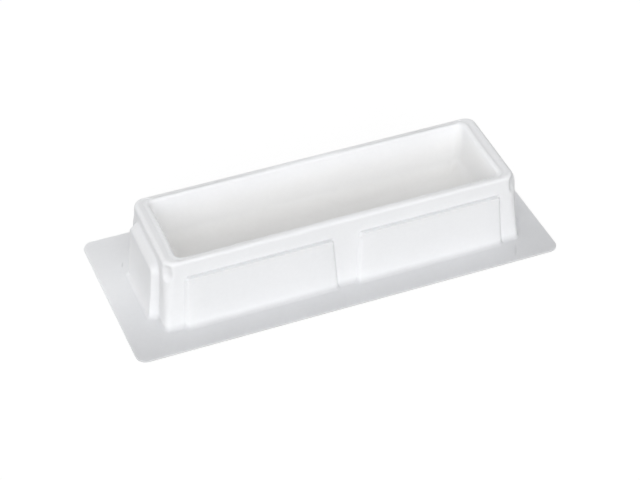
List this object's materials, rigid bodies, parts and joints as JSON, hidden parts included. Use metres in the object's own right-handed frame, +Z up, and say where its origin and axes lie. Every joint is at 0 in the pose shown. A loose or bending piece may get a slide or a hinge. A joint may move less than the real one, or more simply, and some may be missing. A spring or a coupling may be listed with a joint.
{
  "type": "reagent reservoir",
  "caption": "Thin formed white tray: a long open trough for multichannel pipetting hangs inside a drafted skirt with raised panels and a flat flange",
  "frame": {"origin": "middle of the flange's outline, on its underside", "axes": "+X along the trough, +Y across it towards the back, +Z up"},
  "size_m": [0.15, 0.0634, 0.0266],
  "materials": {
    "tray": "satin white polystyrene"
  },
  "bodies": {
    "root": {"tray": "tray"}
  },
  "joints": []
}
